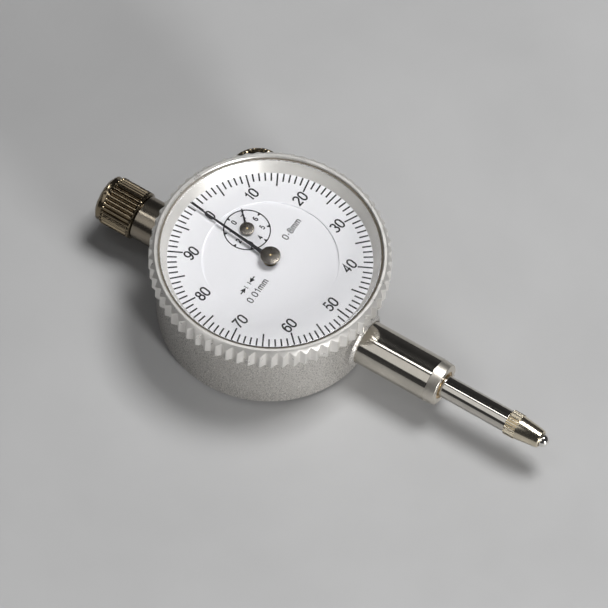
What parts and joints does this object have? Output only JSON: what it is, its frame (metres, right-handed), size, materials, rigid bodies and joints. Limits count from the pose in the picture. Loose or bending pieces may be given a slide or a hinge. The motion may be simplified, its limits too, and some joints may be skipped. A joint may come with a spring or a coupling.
{
  "type": "dial indicator",
  "caption": "Small round dial indicator with a knurled bezel, cylindrical stem, sliding plunger with ball contact, pointer, counter hand and dust cap.",
  "frame": {"origin": "centre of the back cover's flat outer face, which the indicator lies on", "axes": "+Z out of the dial, +Y from the dial's centre to the dust cap, the stem along -Y"},
  "size_m": [0.0422, 0.0897, 0.0186],
  "materials": {
    "granular_silver": "granular silver paint, matt",
    "satin_silver": "satin plated",
    "nickel": "bright nickel plate",
    "warm_nickel": "warm nickel plate, slightly dull",
    "dark_nickel": "brushed dark nickel",
    "steel": "ground steel",
    "brass": "rolled brass",
    "bronze": "sintered bronze",
    "dial_white": "matt white dial paint",
    "black_enamel": "black enamel",
    "dark_cover": "dark paint",
    "clear_crystal": "clear acrylic, polished"
  },
  "bodies": {
    "case": {"case_shell": "granular_silver", "back_cover": "dark_cover", "cover_screw_1": "steel", "cover_screw_2": "steel", "cover_screw_3": "steel", "cover_screw_4": "steel", "snap_ring": "steel", "stem": "nickel", "stem_end_bush": "bronze", "stem_inner_bush": "bronze", "upper_tube": "nickel", "upper_bush": "bronze", "rear_plate": "brass", "front_plate": "brass", "pillar_1": "brass", "pillar_2": "brass", "pillar_3": "brass", "plate_screw_1": "steel", "plate_screw_2": "steel", "plate_screw_3": "steel", "movement_screw_1": "steel", "movement_screw_2": "steel", "movement_screw_3": "steel", "bridge": "brass", "bridge_post_1": "brass", "bridge_post_2": "brass", "bridge_screw_1": "steel", "bridge_screw_2": "steel", "guide_rail": "brass", "spring_post": "steel", "hairspring": "steel", "hairspring_stud": "brass", "inner_dial": "dial_white"},
    "plunger": {"plunger_rod": "steel", "contact_point": "nickel", "contact_ball": "steel", "guide_pin": "steel", "return_spring": "steel"},
    "rack_arbor": {"rack_pinion": "steel", "main_gear": "brass"},
    "pointer": {"centre_pinion": "steel", "pointer": "black_enamel", "pointer_hub": "dark_nickel"},
    "counter": {"takeup_arbor": "steel", "takeup_gear": "brass", "small_hand": "black_enamel", "small_hand_hub": "dark_nickel"},
    "bezel": {"bezel_ring": "satin_silver", "scale_dial": "dial_white", "reflector_ring": "satin_silver", "crystal": "clear_crystal"},
    "clamp_knob": {"clamp_knob": "warm_nickel"},
    "clamp_claw": {"clamp_claw": "steel"},
    "dust_cap": {"dust_cap": "warm_nickel"}
  },
  "joints": [
    {"name": "plunger_slide", "type": "slide", "parent": "case", "child": "plunger", "axis": [0, 1, 0], "range_m": [0, 0.009], "stiffness_N_per_m": 40, "springref_m": -0.02, "deforming": ["return_spring"]},
    {"name": "rack_pinion_turn", "type": "hinge", "parent": "case", "child": "rack_arbor", "pos_m": [-0.003, -0.0066, 0], "axis": [0, 0, 1], "range_deg": [-1, 406]},
    {"name": "pointer_turn", "type": "hinge", "parent": "case", "child": "pointer", "pos_m": [0, 0, 0], "axis": [0, 0, 1], "range_deg": [-3241, 1]},
    {"name": "counter_turn", "type": "hinge", "parent": "case", "child": "counter", "pos_m": [0.003, 0.0066, 0], "axis": [0, 0, 1], "range_deg": [-1, 406], "deforming": ["hairspring"]},
    {"name": "bezel_turn", "type": "hinge", "parent": "case", "child": "bezel", "pos_m": [0, 0, 0], "axis": [0, 0, 1], "continuous": true},
    {"name": "clamp_knob_turn", "type": "hinge", "parent": "case", "child": "clamp_knob", "pos_m": [0.01587, 0.01249, 0.01], "axis": [0.7859, 0.6184, 0], "range_deg": [-1, 121]},
    {"name": "clamp_claw_slide", "type": "slide", "parent": "case", "child": "clamp_claw", "axis": [0.7859, 0.6184, 0], "range_m": [0, 0.00015]},
    {"name": "dust_cap_lift", "type": "slide", "parent": "case", "child": "dust_cap", "axis": [0, 1, 0], "range_m": [0, 0.01]}
  ],
  "couplings": [
    {"joint": "rack_pinion_turn", "follows": "plunger_slide", "rad_per_m": 785.4},
    {"joint": "pointer_turn", "follows": "plunger_slide", "rad_per_m": -6283.2},
    {"joint": "counter_turn", "follows": "plunger_slide", "rad_per_m": 785.4},
    {"joint": "clamp_knob_turn", "follows": "clamp_claw_slide", "rad_per_m": 13963}
  ]
}
